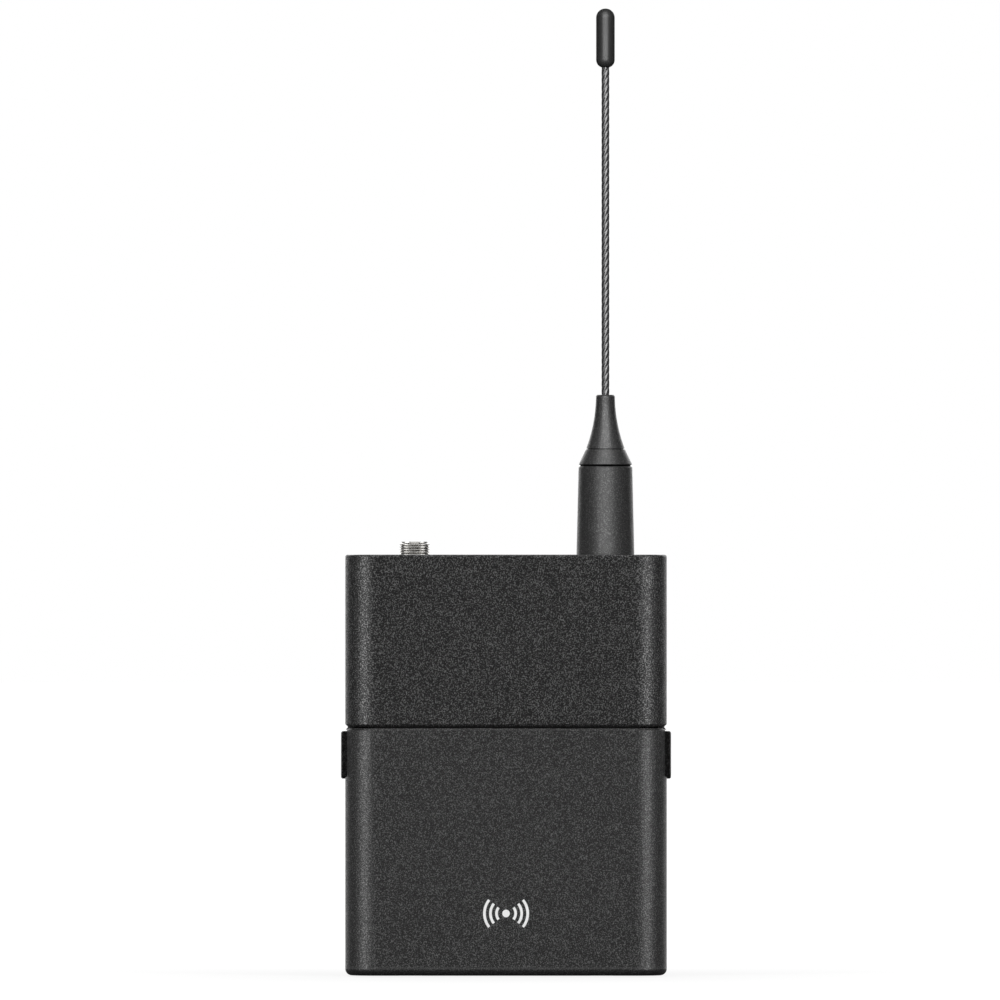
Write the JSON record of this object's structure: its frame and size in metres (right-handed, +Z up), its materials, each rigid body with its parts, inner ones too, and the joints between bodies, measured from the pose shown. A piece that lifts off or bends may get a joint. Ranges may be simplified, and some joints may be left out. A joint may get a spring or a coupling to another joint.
{
  "type": "wireless bodypack transmitter",
  "caption": "Pocket-size radio transmitter worn on a belt: rounded box with a hinged battery cover, side catches, microphone socket, wire belt clip and a flexible whip antenna.",
  "frame": {"origin": "middle of the housing's flat bottom", "axes": "+Z up along the antenna, +X to the right seen from the front, +Y from the front to the belt clip"},
  "size_m": [0.0658, 0.0261, 0.1925],
  "materials": {
    "housing_black": "matte",
    "cover_black": "matte",
    "catch_black": "matte",
    "panel_black": "satin",
    "foam_grey": "matte",
    "steel": "satin",
    "spring_steel": "polished",
    "clip_black": "satin",
    "nickel": "polished",
    "screw_black": "satin",
    "brass": "satin",
    "gold_contact": "polished",
    "frame_grey": "matte",
    "fascia_black": "satin",
    "button_grey": "matte",
    "clear_lens": "gloss",
    "cell_wrap": "gloss",
    "socket_black": "satin",
    "seal_black": "matte",
    "knob_grey": "matte",
    "board_green": "satin",
    "chip_black": "matte",
    "tin": "satin",
    "ceramic_tan": "satin",
    "connector_white": "satin",
    "wire_red": "satin",
    "wire_black": "satin",
    "led_white": "satin",
    "antenna_black": "satin",
    "whip_black": "satin",
    "label_dark": "satin"
  },
  "bodies": {
    "housing": {"rear_shell": "housing_black", "front_shell": "housing_black", "top_panel": "panel_black", "hinge_pin": "steel", "catch_spring_left": "spring_steel", "catch_spring_right": "spring_steel", "battery_upper": "cell_wrap", "battery_lower": "cell_wrap", "series_link_plate": "spring_steel", "contact_plate_plus": "spring_steel", "contact_plate_minus": "spring_steel", "contact_spring_upper": "spring_steel", "contact_spring_lower": "spring_steel", "inner_frame": "frame_grey", "control_fascia": "fascia_black", "status_lens": "clear_lens", "tact_switches": "chip_black", "main_pcb": "board_green", "rf_shield": "tin", "ic_packages": "chip_black", "passives": "ceramic_tan", "crystal": "tin", "lead_connector": "connector_white", "lead_positive": "wire_red", "lead_negative": "wire_black", "led_chips": "led_white", "jack_bushing": "nickel", "jack_body": "socket_black", "jack_contacts": "spring_steel", "jack_seal": "seal_black", "mute_switch_body": "tin", "link_light_pipe": "clear_lens", "antenna_base": "antenna_black", "antenna_seal": "seal_black", "antenna_ring": "antenna_black", "antenna_boot": "antenna_black", "antenna_core": "brass", "antenna_nut": "nickel", "antenna_washer": "steel", "antenna_feed_clip": "spring_steel", "rear_label": "label_dark", "housing_screws": "screw_black", "threaded_inserts": "brass", "frame_screws": "steel", "pcb_screws": "steel", "charge_contacts": "gold_contact"},
    "cover": {"battery_cover": "cover_black", "battery_pad": "foam_grey"},
    "catch_l": {"catch_left": "catch_black"},
    "catch_r": {"catch_right": "catch_black"},
    "button_power": {"power_button": "button_grey"},
    "button_sync": {"sync_button": "button_grey"},
    "mute": {"mute_knob": "knob_grey"},
    "clip": {"belt_clip": "clip_black"},
    "whip": {"antenna_whip": "whip_black", "antenna_tip": "antenna_black"}
  },
  "joints": [
    {"name": "battery_cover_hinge", "type": "hinge", "parent": "housing", "child": "cover", "pos_m": [0, -0.0078, 0.0026], "axis": [1, 0, 0], "range_deg": [0, 95]},
    {"name": "catch_left_press", "type": "slide", "parent": "housing", "child": "catch_l", "axis": [1, 0, 0], "range_m": [0, 0.0012], "stiffness_N_per_m": 600, "springref_m": -0.002, "deforming": ["catch_spring_left"]},
    {"name": "catch_right_press", "type": "slide", "parent": "housing", "child": "catch_r", "axis": [-1, 0, 0], "range_m": [0, 0.0012], "stiffness_N_per_m": 600, "springref_m": -0.002, "deforming": ["catch_spring_right"]},
    {"name": "power_button_press", "type": "slide", "parent": "housing", "child": "button_power", "axis": [0, 1, 0], "range_m": [0, 0.0004], "stiffness_N_per_m": 800, "springref_m": -0.0005},
    {"name": "sync_button_press", "type": "slide", "parent": "housing", "child": "button_sync", "axis": [0, 1, 0], "range_m": [0, 0.0004], "stiffness_N_per_m": 800, "springref_m": -0.0005},
    {"name": "mute_slide", "type": "slide", "parent": "housing", "child": "mute", "axis": [1, 0, 0], "range_m": [0, 0.003]},
    {"name": "belt_clip_pivot", "type": "hinge", "parent": "housing", "child": "clip", "pos_m": [0, 0.0116, 0.066], "axis": [1, 0, 0], "range_deg": [0, 14], "stiffness_Nm_per_rad": 2.6, "springref_deg": -2.86},
    {"name": "antenna_whip_bend", "type": "hinge", "parent": "housing", "child": "whip", "pos_m": [0.0198, 0, 0.11638], "axis": [1, 0, 0], "range_deg": [-35, 35], "stiffness_Nm_per_rad": 0.05}
  ]
}
